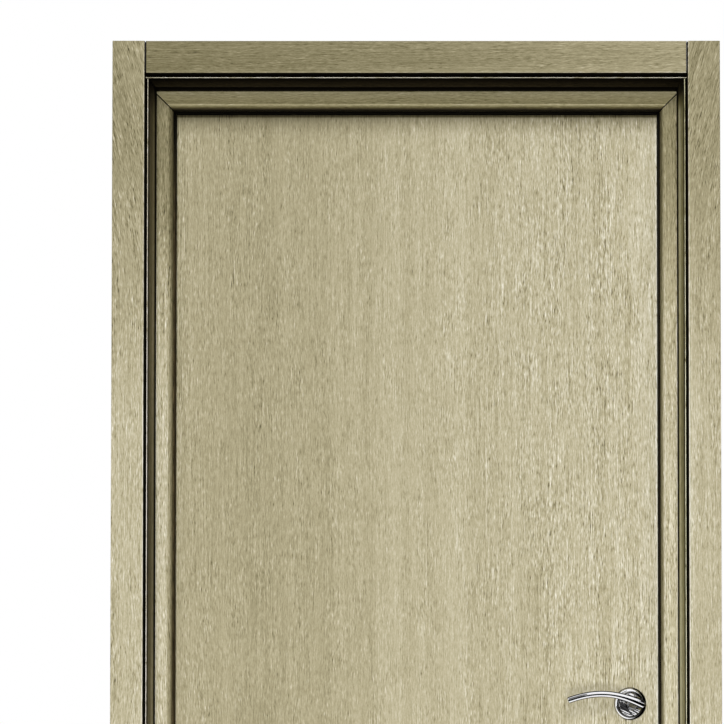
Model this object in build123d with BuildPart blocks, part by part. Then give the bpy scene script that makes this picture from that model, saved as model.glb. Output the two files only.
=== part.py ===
from build123d import *
import os

# Interior door set: a flush leaf hung in a rebated, mitred frame with extension linings,
# tongued architraves on both sides and a lever handle on round roses.
#
# Millimetres, +Z up. +X runs from the hinge jamb to the strike jamb and +Y from the push side
# to the pull side. The origin is at floor level on the outer face of the hinge jamb, in the
# middle plane of the wall.

os.makedirs("parts", exist_ok=True)

# Leaf
leaf_width = 800.0
leaf_height = 2000.0
leaf_thickness = 40.0
skin_thickness = 4.0
edge_band_thickness = 1.0
hinge_stile_width = 40.0
lock_stile_width = 95.0
top_rail_height = 40.0
bottom_rail_height = 80.0

# Gaps round the leaf
hinge_gap = 5.0
lock_gap = 6.5
top_gap = 5.0
floor_gap = 8.0
seal_gap = 2.5

# Jambs
jamb_thickness = 46.5
stop_projection = 14.5
stop_thickness = 29.5
stop_round = 8.0
mitre_gap = 1.6

# Extension linings, and how much of the jamb's face each one leaves in view
side_face = 26.5
head_face = 36.2
extension_depth = 53.0
extension_thickness = 12.0
extension_seat = 8.0
shadow_gap = 1.8
head_shadow_gap = 4.0

# Architraves and the grooves that take their tongues
architrave_width = 50.0
architrave_thickness = 10.0
architrave_round = 1.5
architrave_joint = 2.0
front_lip = 2.2
back_lip = 14.5
groove_reveal = 2.8
head_groove_reveal = 4.4
groove_depth = 10.0
tongue_thickness = 3.0
tongue_depth = 9.0
tongue_clearance = 0.3

# Rubber seal in a kerf on the back of the stop, with a lip round the stop's inner edge
seal_inset = 1.5
seal_clearance = 0.3
seal_round = 1.2
seal_lip_thickness = 1.8
seal_lip_depth = 17.0
seal_joint = 0.4
kerf_width = 3.0
kerf_depth = 6.0
stem_width = 2.4
stem_depth = 5.0

# Butt hinges
hinge_height = 100.0
hinge_end_distance = 250.0
plate_thickness = 2.5
plate_width = 32.0
plate_corner = 6.0
knuckle_count = 5
knuckle_radius = 6.0
knuckle_clearance = 0.4
axis_standoff = 7.0
pin_radius = 3.0
pin_clearance = 0.05
pin_cap_radius = 5.0
pin_cap_height = 3.0
pin_cap_chamfer = 1.2
mortise_clearance = 0.2

# Latch and strike
handle_height = 1044.0
backset = 55.0
latch_plate_width = 24.0
latch_plate_height = 57.0
latch_plate_corner = 3.0
forend_thickness = 3.0
strike_thickness = 2.0
bolt_length = 30.0
bolt_thickness = 12.0
bolt_height = 16.0
bolt_setback = 0.5
bolt_round = 1.5
bolt_clearance = 0.3
strike_slot_margin = 1.0
strike_pocket_depth = 12.0

# Lever handle
rose_radius = 26.0
rose_height = 9.0
rose_edge_height = 2.5
rose_face_radius = 20.0
rose_step = 1.5
collar_radius = 12.5
collar_height = 2.5
neck_radius = 8.5
neck_waist_radius = 7.4
neck_clearance = 0.3
neck_inset = 1.0
neck_waist_height = 24.0
neck_top_radius = 7.0
lever_projection = 46.0
lever_end_round = 2.0
lever_root_reach = 16.0
lever_root_rise = 1.5
lever_shoulder_reach = 21.0
lever_shoulder_rise = 17.5
lever_crest_reach = 57.0
lever_crest_rise = 23.8
lever_length = 105.0
lever_tip_rise = 15.9
lever_root_height = 16.0
lever_bar_height = 10.0
lever_tip_height = 9.4
lever_root_depth = 12.0
lever_bar_depth = 9.0
lever_ridge_rise = 2.0
lever_edge_round = 1.4
lever_taper_share = 0.45
lever_sections = 6
lever_neck_share = 0.12
spindle_side = 8.0
spindle_clearance = 0.1
spindle_engagement = 20.0
spindle_hole_radius = 10.0

# Depths, from the push side to the pull side
jamb_depth = stop_thickness + seal_gap + leaf_thickness
frame_depth = extension_depth + jamb_depth
front_y = -frame_depth / 2
jamb_front_y = front_y + extension_depth
seat_y = jamb_front_y + extension_seat
stop_back_y = jamb_front_y + stop_thickness
leaf_front_y = stop_back_y + seal_gap
leaf_back_y = leaf_front_y + leaf_thickness
leaf_middle_y = (leaf_front_y + leaf_back_y) / 2

# Widths and heights
rebate_u = jamb_thickness - stop_projection
frame_width = leaf_width + hinge_gap + lock_gap + 2 * rebate_u
frame_height = floor_gap + leaf_height + top_gap + rebate_u
leaf_left_x = rebate_u + hinge_gap
leaf_right_x = leaf_left_x + leaf_width
leaf_bottom_z = floor_gap
leaf_top_z = floor_gap + leaf_height

# Distances from the frame's outer face to the linings and to the architraves' inner edges
side_extension_u = jamb_thickness - side_face
head_extension_u = jamb_thickness - head_face
tongue_room = tongue_thickness + tongue_clearance
front_side_edge_u = side_extension_u - front_lip - groove_reveal
front_head_edge_u = head_extension_u - front_lip - head_groove_reveal
back_groove_u = rebate_u - back_lip
back_edge_u = back_groove_u - groove_reveal
head_lining_z = frame_height - head_extension_u
kerf_u = (rebate_u + seal_inset + jamb_thickness) / 2

# Planes that carry a section in (distance from outer face, depth) and the cutting planes
middle_plane = Plane(origin=(frame_width / 2, 0, 0), z_dir=(1, 0, 0))
leaf_middle_plane = Plane(origin=(0, leaf_middle_y, 0), z_dir=(0, 1, 0))
side_plane = Plane(origin=(0, 0, 0), x_dir=(1, 0, 0), z_dir=(0, 0, 1))
head_plane = Plane(origin=(0, 0, frame_height), x_dir=(0, 0, -1), z_dir=(1, 0, 0))


def mitre_plane(shift):
    """The mitre between the hinge jamb and the head, moved off the joint by shift."""
    return Plane(origin=(0, 0, frame_height), z_dir=(1, 0, 1)).offset(shift)


def keep(builder, name):
    """Labels a finished piece and writes it as the node of that name."""
    builder.part.label = name
    export_step(builder.part, f"parts/{name}.step")


def jamb_section(plane, face, gap):
    """Rebated jamb with a rounded stop, a step for the lining, a tongue groove and a seal kerf."""
    step_u = jamb_thickness - face + gap
    with BuildSketch(plane) as section:
        with BuildLine():
            Polyline(
                (0, leaf_back_y),
                (rebate_u, leaf_back_y),
                (rebate_u, stop_back_y),
                (jamb_thickness, stop_back_y),
                (jamb_thickness, jamb_front_y),
                (step_u, jamb_front_y),
                (step_u, seat_y),
                (0, seat_y),
                close=True,
            )
        make_face()
        corner = (jamb_thickness, jamb_front_y)
        fillet(section.vertices().sort_by_distance(corner)[0], radius=stop_round)
        with Locations((back_groove_u, leaf_back_y)):
            Rectangle(
                groove_reveal + tongue_room,
                groove_depth,
                align=(Align.MAX, Align.MAX),
                mode=Mode.SUBTRACT,
            )
        with Locations((kerf_u, stop_back_y)):
            Rectangle(kerf_width, kerf_depth, align=(Align.CENTER, Align.MAX), mode=Mode.SUBTRACT)
    return section.sketch


def extension_section(plane, inner_u, reveal):
    """Lining board whose front edge is grooved for an architrave's tongue, with a reveal beside it."""
    with BuildSketch(plane) as section:
        with Locations((inner_u, front_y)):
            Rectangle(extension_thickness, seat_y - front_y, align=(Align.MAX, Align.MIN))
        with Locations((inner_u - front_lip, front_y)):
            Rectangle(
                reveal + tongue_room,
                groove_depth,
                align=(Align.MAX, Align.MIN),
                mode=Mode.SUBTRACT,
            )
    return section.sketch


def architrave_section(plane, edge_u, wall_y, outward):
    """Flat board with eased front edges. Outward is the sign of the way that it faces along Y."""
    face_y = wall_y + outward * architrave_thickness
    with BuildSketch(plane) as section:
        with BuildLine():
            Polyline(
                (edge_u, face_y),
                (edge_u, wall_y - outward * tongue_depth),
                (edge_u - tongue_thickness, wall_y - outward * tongue_depth),
                (edge_u - tongue_thickness, wall_y),
                (edge_u - architrave_width, wall_y),
                (edge_u - architrave_width, face_y),
                close=True,
            )
        make_face()
        front_edges = [
            section.vertices().sort_by_distance((u, face_y))[0]
            for u in (edge_u, edge_u - architrave_width)
        ]
        fillet(front_edges, radius=architrave_round)
    return section.sketch


def seal_section(plane):
    """Soft strip on the back of the stop, with a stem in the kerf and a lip round the stop's edge."""
    lip_u = jamb_thickness + seal_lip_thickness
    strip_thickness = seal_gap - seal_clearance
    with BuildSketch(plane) as section:
        with Locations((lip_u, stop_back_y)):
            Rectangle(
                lip_u - rebate_u - seal_inset, strip_thickness, align=(Align.MAX, Align.MIN)
            )
            fillet(section.vertices().group_by(Axis.Y)[-1], radius=seal_round)
            Rectangle(seal_lip_thickness, seal_lip_depth, align=(Align.MAX, Align.MAX))
        with Locations((kerf_u, stop_back_y)):
            Rectangle(stem_width, stem_depth, align=(Align.CENTER, Align.MAX))
    return section.sketch


def plate_outline(plane, y, z, width, height, radius):
    """A plate's outline on a plane parallel to YZ, centred on a point, with rounded corners."""
    with BuildSketch(plane) as outline:
        with Locations((y, z)):
            RectangleRounded(width, height, radius)
    return outline.sketch


# Hinge positions
hinge_axis_x = rebate_u + hinge_gap / 2
hinge_axis_y = leaf_back_y + axis_standoff
hinge_levels = {
    "upper": leaf_top_z - hinge_end_distance,
    "lower": leaf_bottom_z + hinge_end_distance,
}
knuckle_pitch = hinge_height / knuckle_count
knuckle_length = knuckle_pitch - knuckle_clearance
knuckle_offsets = [(i - (knuckle_count - 1) / 2) * knuckle_pitch for i in range(knuckle_count)]


def hinge_mortise(plane, z, clearance):
    """Plate outline let into an edge: rounded at its inner corners and open at the pull side."""
    with BuildSketch(plane) as outline:
        with Locations((leaf_back_y, z)):
            Rectangle(
                plate_width + clearance,
                hinge_height + 2 * clearance,
                align=(Align.MAX, Align.CENTER),
            )
        fillet(outline.vertices().group_by(Axis.X)[0], radius=plate_corner)
    return outline.sketch


def hinge_plate(plane, z, offsets):
    """Plate with tabs to the knuckles at the given offsets, bored for the pin."""
    with BuildPart() as plate:
        extrude(hinge_mortise(plane, z, 0), amount=plate_thickness)
        with BuildSketch(plane):
            with Locations([(leaf_back_y, z + offset) for offset in offsets]):
                Rectangle(axis_standoff, knuckle_length, align=(Align.MIN, Align.CENTER))
        extrude(amount=plate_thickness)
        with Locations([(hinge_axis_x, hinge_axis_y, z + offset) for offset in offsets]):
            Cylinder(knuckle_radius, knuckle_length)
        with Locations((hinge_axis_x, hinge_axis_y, z)):
            Cylinder(pin_radius + pin_clearance, hinge_height, mode=Mode.SUBTRACT)
    return plate


# Frame jambs, mitred at the top corners
frame_plate_plane = Plane.YZ.offset(rebate_u - plate_thickness)
strike_face_x = frame_width - rebate_u
lock_z = handle_height

with BuildPart() as hinge_jamb:
    extrude(jamb_section(side_plane, side_face, shadow_gap), amount=frame_height)
    split(bisect_by=mitre_plane(-mitre_gap / 2), keep=Keep.BOTTOM)
    for level in hinge_levels.values():
        extrude(
            hinge_mortise(frame_plate_plane, level, mortise_clearance),
            amount=plate_thickness,
            mode=Mode.SUBTRACT,
        )
keep(hinge_jamb, "hinge_jamb")

with BuildPart() as strike_jamb:
    extrude(jamb_section(side_plane, side_face, shadow_gap), amount=frame_height)
    split(bisect_by=mitre_plane(-mitre_gap / 2), keep=Keep.BOTTOM)
    mirror(about=middle_plane, mode=Mode.REPLACE)
    extrude(
        plate_outline(
            Plane.YZ.offset(strike_face_x),
            leaf_middle_y,
            lock_z,
            latch_plate_width + 2 * mortise_clearance,
            latch_plate_height + 2 * mortise_clearance,
            latch_plate_corner,
        ),
        amount=strike_thickness,
        mode=Mode.SUBTRACT,
    )
    with Locations((strike_face_x, leaf_middle_y, lock_z)):
        Box(
            strike_thickness + strike_pocket_depth,
            bolt_thickness + 2 * strike_slot_margin,
            bolt_height + 2 * strike_slot_margin,
            align=(Align.MIN, Align.CENTER, Align.CENTER),
            mode=Mode.SUBTRACT,
        )
keep(strike_jamb, "strike_jamb")

with BuildPart() as head_jamb:
    extrude(jamb_section(head_plane, head_face, head_shadow_gap), amount=frame_width)
    split(bisect_by=mitre_plane(mitre_gap / 2), keep=Keep.TOP)
    # Room for the side linings, whose seats run on past the mitres
    with Locations((0, seat_y, frame_height)):
        Box(
            side_extension_u + shadow_gap,
            extension_seat,
            jamb_thickness,
            align=(Align.MIN, Align.MAX, Align.MAX),
            mode=Mode.SUBTRACT,
        )
    split(bisect_by=middle_plane, keep=Keep.BOTTOM)
    mirror(about=middle_plane)
keep(head_jamb, "head_jamb")

# Extension linings: the head lining lies across the tops of the side ones
with BuildPart() as hinge_side_extension:
    extrude(
        extension_section(side_plane, side_extension_u, groove_reveal), amount=head_lining_z
    )
keep(hinge_side_extension, "hinge_side_extension")

with BuildPart() as strike_side_extension:
    mirror(hinge_side_extension.part, about=middle_plane)
keep(strike_side_extension, "strike_side_extension")

extension_outer_u = side_extension_u - extension_thickness
with BuildPart() as head_extension:
    extrude(
        extension_section(
            head_plane.offset(extension_outer_u), head_extension_u, head_groove_reveal
        ),
        amount=frame_width - 2 * extension_outer_u,
    )
keep(head_extension, "head_extension")

# Architraves: the side boards run to the top and the head board fits between them
sides = {
    "front": (front_side_edge_u, front_head_edge_u, front_y, -1),
    "back": (back_edge_u, back_edge_u, leaf_back_y, 1),
}
for side, (edge_u, head_edge_u, wall_y, outward) in sides.items():
    top_z = frame_height - head_edge_u + architrave_width
    tongue_top_z = frame_height - max(head_extension_u, back_groove_u) - mitre_gap
    with BuildPart() as left_architrave:
        extrude(architrave_section(side_plane, edge_u, wall_y, outward), amount=top_z)
        with Locations((edge_u - tongue_thickness / 2, wall_y, tongue_top_z)):
            Box(
                tongue_thickness,
                tongue_depth,
                top_z - tongue_top_z,
                align=(Align.CENTER, Align.MAX if outward > 0 else Align.MIN, Align.MIN),
                mode=Mode.SUBTRACT,
            )
    keep(left_architrave, f"{side}_hinge_side_architrave")

    with BuildPart() as right_architrave:
        mirror(left_architrave.part, about=middle_plane)
    keep(right_architrave, f"{side}_strike_side_architrave")

    end_x = edge_u + architrave_joint
    with BuildPart() as head_architrave:
        extrude(
            architrave_section(head_plane.offset(end_x), head_edge_u, wall_y, outward),
            amount=frame_width - 2 * end_x,
        )
    keep(head_architrave, f"{side}_head_architrave")

# Seals, mitred like the jambs
with BuildPart() as hinge_side_seal:
    extrude(seal_section(side_plane), amount=frame_height)
    split(bisect_by=mitre_plane(-seal_joint / 2), keep=Keep.BOTTOM)
keep(hinge_side_seal, "hinge_side_seal")

with BuildPart() as strike_side_seal:
    mirror(hinge_side_seal.part, about=middle_plane)
keep(strike_side_seal, "strike_side_seal")

with BuildPart() as head_seal:
    extrude(seal_section(head_plane), amount=frame_width)
    split(bisect_by=mitre_plane(seal_joint / 2), keep=Keep.TOP)
    split(bisect_by=middle_plane, keep=Keep.BOTTOM)
    mirror(about=middle_plane)
keep(head_seal, "head_seal")

# Hinges: the frame plate has the outer knuckles and the leaf plate the ones between
leaf_plate_plane = Plane.YZ.offset(leaf_left_x)
for place, level in hinge_levels.items():
    keep(hinge_plate(frame_plate_plane, level, knuckle_offsets[0::2]), f"{place}_hinge_frame_plate")
    keep(hinge_plate(leaf_plate_plane, level, knuckle_offsets[1::2]), f"{place}_hinge_leaf_plate")

    pin_length = hinge_height - knuckle_clearance
    with BuildPart() as hinge_pin:
        with Locations((hinge_axis_x, hinge_axis_y, level)):
            Cylinder(pin_radius, pin_length)
        for end in (1, -1):
            with BuildSketch(Plane.XY.offset(level + end * pin_length / 2)):
                with Locations((hinge_axis_x, hinge_axis_y)):
                    Circle(pin_cap_radius)
            extrude(amount=end * pin_cap_height)
        cap_rims = [hinge_pin.edges().sort_by(Axis.Z)[i] for i in (0, -1)]
        chamfer(cap_rims, length=pin_cap_chamfer)
    keep(hinge_pin, f"{place}_hinge_pin")

# Leaf: two skins on a frame of stiles and rails, with a band on each long edge
stile_thickness = leaf_thickness - 2 * skin_thickness
inner_left_x = leaf_left_x + edge_band_thickness
inner_right_x = leaf_right_x - edge_band_thickness
skin_width = inner_right_x - inner_left_x
rail_left_x = inner_left_x + hinge_stile_width
rail_right_x = inner_right_x - lock_stile_width
spindle_x = leaf_right_x - backset


def upright(x, y, width, thickness):
    """Full-height board of the leaf, by its left front corner."""
    with Locations((x, y, leaf_bottom_z)):
        Box(width, thickness, leaf_height, align=(Align.MIN, Align.MIN, Align.MIN))


def cut_hinge_mortises():
    """Mortises for the hinge plates in the leaf's hinge edge."""
    for level in hinge_levels.values():
        extrude(
            hinge_mortise(leaf_plate_plane, level, mortise_clearance),
            amount=plate_thickness,
            mode=Mode.SUBTRACT,
        )


def cut_forend_mortise():
    """Shallow mortise for the forend in the leaf's lock edge, with a pocket for the bolt."""
    extrude(
        plate_outline(
            Plane.YZ.offset(leaf_right_x),
            leaf_middle_y,
            lock_z,
            latch_plate_width + 2 * mortise_clearance,
            latch_plate_height + 2 * mortise_clearance,
            latch_plate_corner,
        ),
        amount=-forend_thickness,
        mode=Mode.SUBTRACT,
    )
    with Locations((leaf_right_x, leaf_middle_y, lock_z)):
        Box(
            bolt_setback + bolt_length + bolt_clearance,
            bolt_thickness + 2 * bolt_clearance,
            bolt_height + 2 * bolt_clearance,
            align=(Align.MAX, Align.CENTER, Align.CENTER),
            mode=Mode.SUBTRACT,
        )


def cut_spindle_hole():
    """Round hole through the leaf for the handle's spindle."""
    with Locations(Location((spindle_x, leaf_middle_y, lock_z), (90, 0, 0))):
        Cylinder(spindle_hole_radius, leaf_thickness, mode=Mode.SUBTRACT)


with BuildPart() as front_skin:
    upright(inner_left_x, leaf_front_y, skin_width, skin_thickness)
    cut_spindle_hole()
keep(front_skin, "front_skin")

with BuildPart() as back_skin:
    upright(inner_left_x, leaf_back_y - skin_thickness, skin_width, skin_thickness)
    cut_spindle_hole()
    cut_hinge_mortises()
keep(back_skin, "back_skin")

with BuildPart() as hinge_stile:
    upright(inner_left_x, leaf_front_y + skin_thickness, hinge_stile_width, stile_thickness)
    cut_hinge_mortises()
keep(hinge_stile, "hinge_stile")

with BuildPart() as lock_stile:
    upright(rail_right_x, leaf_front_y + skin_thickness, lock_stile_width, stile_thickness)
    cut_forend_mortise()
    cut_spindle_hole()
keep(lock_stile, "lock_stile")

with BuildPart() as hinge_edge_band:
    upright(leaf_left_x, leaf_front_y, edge_band_thickness, leaf_thickness)
    cut_hinge_mortises()
keep(hinge_edge_band, "hinge_edge_band")

with BuildPart() as lock_edge_band:
    upright(inner_right_x, leaf_front_y, edge_band_thickness, leaf_thickness)
    cut_forend_mortise()
keep(lock_edge_band, "lock_edge_band")

rails = {
    "top_rail": (leaf_top_z - top_rail_height, top_rail_height),
    "bottom_rail": (leaf_bottom_z, bottom_rail_height),
}
for rail_name, (rail_z, rail_height) in rails.items():
    with BuildPart() as rail:
        with Locations((rail_left_x, leaf_front_y + skin_thickness, rail_z)):
            Box(
                rail_right_x - rail_left_x,
                stile_thickness,
                rail_height,
                align=(Align.MIN, Align.MIN, Align.MIN),
            )
    keep(rail, rail_name)

# Latch: the bolt is drawn back just behind the face of its forend
with BuildPart() as latch_forend:
    extrude(
        plate_outline(
            Plane.YZ.offset(leaf_right_x),
            leaf_middle_y,
            lock_z,
            latch_plate_width,
            latch_plate_height,
            latch_plate_corner,
        ),
        amount=-forend_thickness,
    )
    with Locations((leaf_right_x, leaf_middle_y, lock_z)):
        Box(
            2 * forend_thickness,
            bolt_thickness + 2 * bolt_clearance,
            bolt_height + 2 * bolt_clearance,
            mode=Mode.SUBTRACT,
        )
keep(latch_forend, "latch_forend")

with BuildPart() as latch_bolt:
    with Locations((leaf_right_x - bolt_setback, leaf_middle_y, lock_z)):
        Box(
            bolt_length,
            bolt_thickness,
            bolt_height,
            align=(Align.MAX, Align.CENTER, Align.CENTER),
        )
    fillet(latch_bolt.faces().sort_by(Axis.X)[-1].edges(), radius=bolt_round)
keep(latch_bolt, "latch_bolt")

with BuildPart() as strike_plate:
    extrude(
        plate_outline(
            Plane.YZ.offset(strike_face_x),
            leaf_middle_y,
            lock_z,
            latch_plate_width,
            latch_plate_height,
            latch_plate_corner,
        ),
        amount=strike_thickness,
    )
    with Locations((strike_face_x, leaf_middle_y, lock_z)):
        Box(
            2 * strike_thickness,
            bolt_thickness + 2 * strike_slot_margin,
            bolt_height + 2 * strike_slot_margin,
            mode=Mode.SUBTRACT,
        )
keep(strike_plate, "strike_plate")

# Handle: everything is turned about an axis that stands on the front skin and points at -Y
handle_plane = Plane(
    origin=(spindle_x, leaf_front_y, lock_z), x_dir=(1, 0, 0), z_dir=(0, -1, 0)
)
rose_plane = Plane(origin=(spindle_x, leaf_front_y, lock_z), x_dir=(1, 0, 0), z_dir=(0, 0, 1))
handle_axis = Axis((spindle_x, leaf_front_y, lock_z), (0, -1, 0))

with BuildPart() as front_rose:
    # Half section: local X is the radius and local -Y stands out from the leaf
    face_height = rose_height - rose_step
    hole_radius = neck_radius + neck_clearance
    with BuildSketch(rose_plane):
        with BuildLine():
            Polyline(
                (rose_face_radius, -face_height),
                (rose_face_radius - rose_step, -rose_height),
                (collar_radius, -rose_height),
                (collar_radius, -rose_height - collar_height),
                (hole_radius, -rose_height - collar_height),
                (hole_radius, 0),
                (rose_radius, 0),
                (rose_radius, -rose_edge_height),
            )
            RadiusArc(
                (rose_radius, -rose_edge_height),
                (rose_face_radius, -face_height),
                rose_radius - rose_face_radius,
            )
        make_face()
    revolve(axis=handle_axis)
keep(front_rose, "front_rose")

with BuildPart() as back_rose:
    mirror(front_rose.part, about=leaf_middle_plane)
keep(back_rose, "back_rose")

# Line of the lever's bar in the plane of the door, from its root past the spindle to its tip
bar_plane = Plane(
    origin=(spindle_x, leaf_front_y - lever_projection, lock_z), x_dir=(1, 0, 0), z_dir=(0, -1, 0)
)
with BuildLine(bar_plane) as bar_line:
    Spline(
        (lever_root_reach, lever_root_rise),
        (-lever_shoulder_reach, lever_shoulder_rise),
        (-lever_crest_reach, lever_crest_rise),
        (-lever_length, lever_tip_rise),
    )


def between(share, start, end):
    """The value at that share of the way from start to end, eased at both ends."""
    eased = share * share * (3 - 2 * share)
    return start + eased * (end - start)


def bar_section(plane, depth, height):
    """Section of the bar, with local X pointing at the leaf: a ridged front and a round back."""
    shoulder_x = lever_ridge_rise - depth / 2
    with BuildSketch(plane) as section:
        with BuildLine():
            Polyline((shoulder_x, -height / 2), (-depth / 2, 0), (shoulder_x, height / 2))
            ThreePointArc((shoulder_x, height / 2), (depth / 2, 0), (shoulder_x, -height / 2))
        make_face()
        edges = [section.vertices().sort_by(Axis.Y)[i] for i in (0, -1)]
        fillet(edges, radius=lever_edge_round)
    return section.sketch


with BuildPart() as front_lever:
    for i in range(lever_sections):
        station = i / (lever_sections - 1)
        thinned = min(station / lever_taper_share, 1.0)
        flared = max(station - lever_taper_share, 0.0) / (1.0 - lever_taper_share)
        bar_height = between(thinned, lever_root_height, lever_bar_height)
        bar_height += between(flared, 0.0, lever_tip_height - lever_bar_height)
        station_plane = Plane(
            origin=bar_line.line @ station, x_dir=(0, 1, 0), z_dir=bar_line.line % station
        )
        bar_depth = between(thinned, lever_root_depth, lever_bar_depth)
        add(bar_section(station_plane, bar_depth, bar_height))
    loft()
    bar_ends = front_lever.faces().filter_by(GeomType.PLANE)
    fillet(bar_ends.edges(), radius=lever_end_round)
    # Neck: a round shaft in the rose, then a waisted one that leans up to the middle of the bar
    neck_base_height = rose_height + collar_height
    with BuildSketch(handle_plane.offset(neck_inset)):
        Circle(neck_radius)
    extrude(amount=neck_base_height - neck_inset)
    neck_sections = [
        (handle_plane.offset(neck_base_height), neck_radius),
        (handle_plane.offset(neck_waist_height), neck_waist_radius),
        (Plane(bar_line.line @ lever_neck_share, bar_plane.x_dir, bar_plane.z_dir), neck_top_radius),
    ]
    for section_plane, radius in neck_sections:
        with BuildSketch(section_plane):
            Circle(radius)
    loft()
    with BuildSketch(handle_plane.offset(neck_inset)):
        Rectangle(spindle_side + 2 * spindle_clearance, spindle_side + 2 * spindle_clearance)
    extrude(amount=spindle_engagement, mode=Mode.SUBTRACT)
keep(front_lever, "front_lever")

with BuildPart() as back_lever:
    mirror(front_lever.part, about=leaf_middle_plane)
keep(back_lever, "back_lever")

with BuildPart() as spindle:
    with Locations((spindle_x, leaf_middle_y, lock_z)):
        Box(
            spindle_side,
            leaf_thickness + 2 * (neck_inset + spindle_engagement - spindle_clearance),
            spindle_side,
        )
keep(spindle, "spindle")
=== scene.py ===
import math
from dataclasses import dataclass

import bmesh
import bpy
from mathutils import Matrix, Vector


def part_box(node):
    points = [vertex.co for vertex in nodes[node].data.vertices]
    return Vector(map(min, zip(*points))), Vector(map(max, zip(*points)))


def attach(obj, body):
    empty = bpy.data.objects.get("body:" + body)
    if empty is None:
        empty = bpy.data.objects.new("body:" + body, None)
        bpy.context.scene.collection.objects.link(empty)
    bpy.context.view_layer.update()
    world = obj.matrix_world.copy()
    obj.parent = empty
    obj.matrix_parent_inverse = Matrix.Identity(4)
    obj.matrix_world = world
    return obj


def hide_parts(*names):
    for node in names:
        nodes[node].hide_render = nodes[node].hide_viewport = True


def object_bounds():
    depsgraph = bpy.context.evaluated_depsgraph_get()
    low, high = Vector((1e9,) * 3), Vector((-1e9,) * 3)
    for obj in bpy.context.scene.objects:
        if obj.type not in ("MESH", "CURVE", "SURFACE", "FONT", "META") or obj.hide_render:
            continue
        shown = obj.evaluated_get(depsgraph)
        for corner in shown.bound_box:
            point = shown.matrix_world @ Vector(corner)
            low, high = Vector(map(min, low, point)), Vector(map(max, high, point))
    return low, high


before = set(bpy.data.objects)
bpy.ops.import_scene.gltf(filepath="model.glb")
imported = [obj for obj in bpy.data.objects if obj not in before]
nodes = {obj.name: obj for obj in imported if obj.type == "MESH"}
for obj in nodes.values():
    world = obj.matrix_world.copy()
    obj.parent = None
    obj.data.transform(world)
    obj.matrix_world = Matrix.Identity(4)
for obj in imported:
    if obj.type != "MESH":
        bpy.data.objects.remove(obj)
cad_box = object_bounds()

# Camera, fitted to the photograph's frame of 724 by 724 pixels
IMAGE_SIDE = 724.0
FOCAL_PIXELS = 1345.3
AXIS_PIXEL = (432.0, 404.0)
SENSOR_MM = 36.0
CAMERA_SIDE = 0.0246
CAMERA_DISTANCE = 2.179
CAMERA_HEIGHT = 1.4933
CAMERA_TILT = math.radians(0.9)
CLIP_START = 0.05

# Light: a tall strip of suns in front, as (elevation in degrees, share of the light on the leaf)
SUN_STRIP = [(-3.0, 0.30), (9.0, 0.16), (19.0, 0.18), (30.0, 0.18), (38.0, 0.18)]
SUN_ANGLE = math.radians(12.0)
SUN_AZIMUTH = math.radians(1.0)
FRONT_LIGHT = 0.93
BACK_SUN = (24.0, 0.7)
SUN_DISTANCE, LIT_HEIGHT = 6.0, 1.2
AMBIENT = 0.05
FLOOR_RADIUS, FLOOR_FADE, FLOOR_DROP = 3.4, 0.35, 0.001
FLOOR_GREY, FLOOR_ROUGHNESS, FLOOR_SEGMENTS = 0.8, 0.9, 96

# Dark cards that only reflections see, on the push side, as ranges along X, Y and Z and a level
CARDS = {
    "front_card": ((-1.6, 2.6), (-3.2, -3.2), (0.02, 1.75), 0.02),
    "floor_card": ((-1.6, 2.6), (-3.2, -1.0), (0.02, 0.02), 0.05),
    "left_card": ((-1.6, 0.5), (-3.2, -3.2), (2.3, 4.4), 0.2),
    "top_card": ((-1.6, 2.6), (-0.35, -0.02), (3.6, 3.6), 0.02),
    "side_card": ((2.6, 2.6), (-3.1, -0.2), (0.02, 3.5), 0.02),
}

# Screws, with a profile from the outside in, as shares of the radius and of the height that stands proud
HINGE_GAP = 0.005
HINGE_SCREW_RADIUS, PLATE_SCREW_RADIUS, SCREW_PROUD = 0.0042, 0.0032, 0.0007
SCREW_PROFILE = [(1.0, -0.3), (1.0, 0.0), (0.9, 0.5), (0.75, 0.85), (0.58, 1.0)]
RECESS_RADIUS, RECESS_WAIST, RECESS_TAPER, RECESS_DEPTH = 0.5, 0.3, 0.7, 1.6

# Grub screws, with both parts of the profile as shares of the radius
GRUB_RADIUS, GRUB_ABOVE_ROSE, NECK_RADIUS = 0.0022, 0.0045, 0.0079
GRUB_PROFILE, GRUB_SOCKET = [(1.0, -1.2), (1.0, -0.1), (0.9, 0.0)], [(0.6, 0.0), (0.55, -0.9)]

# Places of screws: (metres inward, share of the height) on hinges, share of the height on other plates
HINGE_SCREW_SPOTS = [(0.009, 0.13), (0.022, 0.38), (0.022, 0.62), (0.009, 0.87)]
PLATE_SCREW_SPOTS = (0.1, 0.9)
HINGE_SCREW_TURN, HINGE_SCREW_TURN_STEP = 0.4, 1.1
PLATE_SCREW_TURN, PLATE_SCREW_TURN_STEP = 0.3, 0.9


def decode(value):
    """A display value from 0 to 255 as the linear value that a shader takes."""
    share = value / 255.0
    return share / 12.92 if share <= 0.04045 else ((share + 0.055) / 1.055) ** 2.4


def linear(red, green, blue):
    """A colour written in display values, as a linear colour."""
    return (decode(red), decode(green), decode(blue), 1.0)


# Node helpers

# Where the values of a noise mostly lie
NOISE_SPAN = (0.3, 0.7)


def add(tree, kind, inputs=None, **settings):
    """A new node with its settings, and its inputs set to values or linked to sockets."""
    node = tree.nodes.new(kind)
    for key, value in settings.items():
        setattr(node, key, value)
    for key, value in (inputs or {}).items():
        socket = node.inputs[key]
        if isinstance(value, bpy.types.NodeSocket):
            tree.links.new(value, socket)
        else:
            socket.default_value = value
    return node


def new_material(name):
    """A node material, with its tree and its Principled shader."""
    material = bpy.data.materials.new(name)
    material.use_nodes = True
    tree = material.node_tree
    return material, tree, tree.nodes["Principled BSDF"]


def object_place(tree):
    """Where a point lies in the part's own frame, in metres."""
    return add(tree, "ShaderNodeTexCoord").outputs["Object"]


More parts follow.
